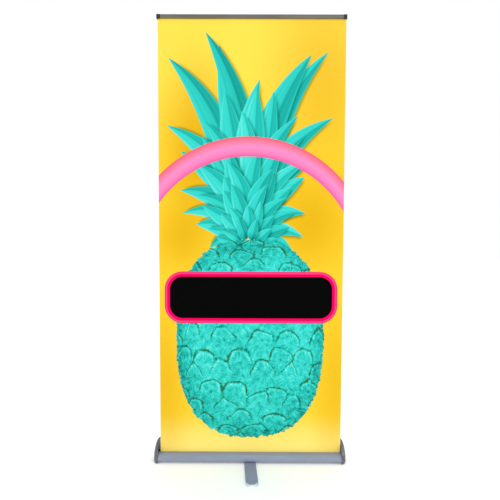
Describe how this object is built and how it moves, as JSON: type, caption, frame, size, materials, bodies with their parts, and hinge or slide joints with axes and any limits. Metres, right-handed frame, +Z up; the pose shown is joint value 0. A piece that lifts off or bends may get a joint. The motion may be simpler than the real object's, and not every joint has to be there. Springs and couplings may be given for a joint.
{
  "type": "roll-up banner stand",
  "caption": "Roll-up banner stand: a printed film pulled up from a sprung cassette base to a top rail on a telescopic pole, with a swing-out foot.",
  "frame": {"origin": "on the floor under the middle of the stand's whole width and depth, foot turned out", "axes": "+Z up along the graphic, the printed face looks along -Y, +X to the viewer's right"},
  "size_m": [0.9074, 0.289, 2.0621],
  "materials": {
    "housing_aluminium": "satin silver anodised extrusion",
    "cap_plastic": "silver-grey moulded plastic, half gloss",
    "zinc_steel": "bright zinc plating",
    "spring_steel": "oiled spring wire",
    "rubber": "black rubber",
    "nylon": "natural nylon",
    "printed_film": "matt printed film, grey-white back",
    "black_plastic": "black moulded plastic, fine texture",
    "pole_aluminium": "satin anodised tube",
    "rail_aluminium": "satin anodised extrusion",
    "foot_aluminium": "satin anodised bar",
    "silver_plastic": "bright silver moulded plastic"
  },
  "bodies": {
    "base": {"base_housing": "housing_aluminium", "end_cap_left": "cap_plastic", "end_cap_right": "cap_plastic", "end_cap_screws": "zinc_steel", "base_pads": "rubber", "idle_bush": "nylon", "spring_arbor": "zinc_steel", "spring_anchor": "zinc_steel", "torsion_spring": "spring_steel", "graphic_lower": "printed_film", "pole_socket": "black_plastic", "socket_screws": "zinc_steel", "pole_foot_plug": "black_plastic", "pole_lower_tube": "pole_aluminium", "lower_bush": "nylon", "foot_washer": "nylon", "foot_bolt": "zinc_steel", "backing_plate": "zinc_steel", "plate_rivets": "zinc_steel", "foot_nut": "zinc_steel"},
    "roller": {"roller_tube": "pole_aluminium", "roller_idle_plug": "nylon", "roller_spring_plug": "nylon", "spring_driver": "nylon", "wound_graphic": "printed_film"},
    "lower_twist_lock": {"lower_collar": "black_plastic"},
    "middle_section": {"pole_middle_tube": "pole_aluminium", "middle_bush": "nylon", "middle_slide_plug": "nylon"},
    "middle_twist_lock": {"middle_collar": "black_plastic"},
    "upper_section": {"pole_upper_tube": "pole_aluminium", "upper_slide_plug": "nylon", "rail_hook": "black_plastic", "rail_profile": "rail_aluminium", "rail_cap_left": "black_plastic", "rail_cap_right": "black_plastic", "graphic_bead": "nylon", "graphic_upper": "printed_film"},
    "foot": {"foot_bar": "foot_aluminium", "foot_tip": "silver_plastic", "foot_tip_pad": "rubber"}
  },
  "joints": [
    {"name": "upper_slide", "type": "slide", "parent": "middle_section", "child": "upper_section", "axis": [0, 0, 1], "range_m": [-0.6, 0], "deforming": ["graphic_lower"]},
    {"name": "middle_slide", "type": "slide", "parent": "base", "child": "middle_section", "axis": [0, 0, 1], "range_m": [-0.6, 0]},
    {"name": "roller_spin", "type": "hinge", "parent": "base", "child": "roller", "pos_m": [0, 0.1089, 0.034], "axis": [1, 0, 0], "range_deg": [0, 3600]},
    {"name": "lower_collar_turn", "type": "hinge", "parent": "base", "child": "lower_twist_lock", "pos_m": [0, 0.1209, 0.72], "axis": [0, 0, 1], "range_deg": [0, 90]},
    {"name": "middle_collar_turn", "type": "hinge", "parent": "middle_section", "child": "middle_twist_lock", "pos_m": [0, 0.1209, 1.37], "axis": [0, 0, 1], "range_deg": [0, 90]},
    {"name": "foot_swing", "type": "hinge", "parent": "base", "child": "foot", "pos_m": [0, 0.0849, 0], "axis": [0, 0, 1], "range_deg": [-93, 0]}
  ],
  "couplings": [
    {"joint": "middle_slide", "follows": "upper_slide", "ratio": 1},
    {"joint": "roller_spin", "follows": "upper_slide", "rad_per_m": -103.2}
  ]
}
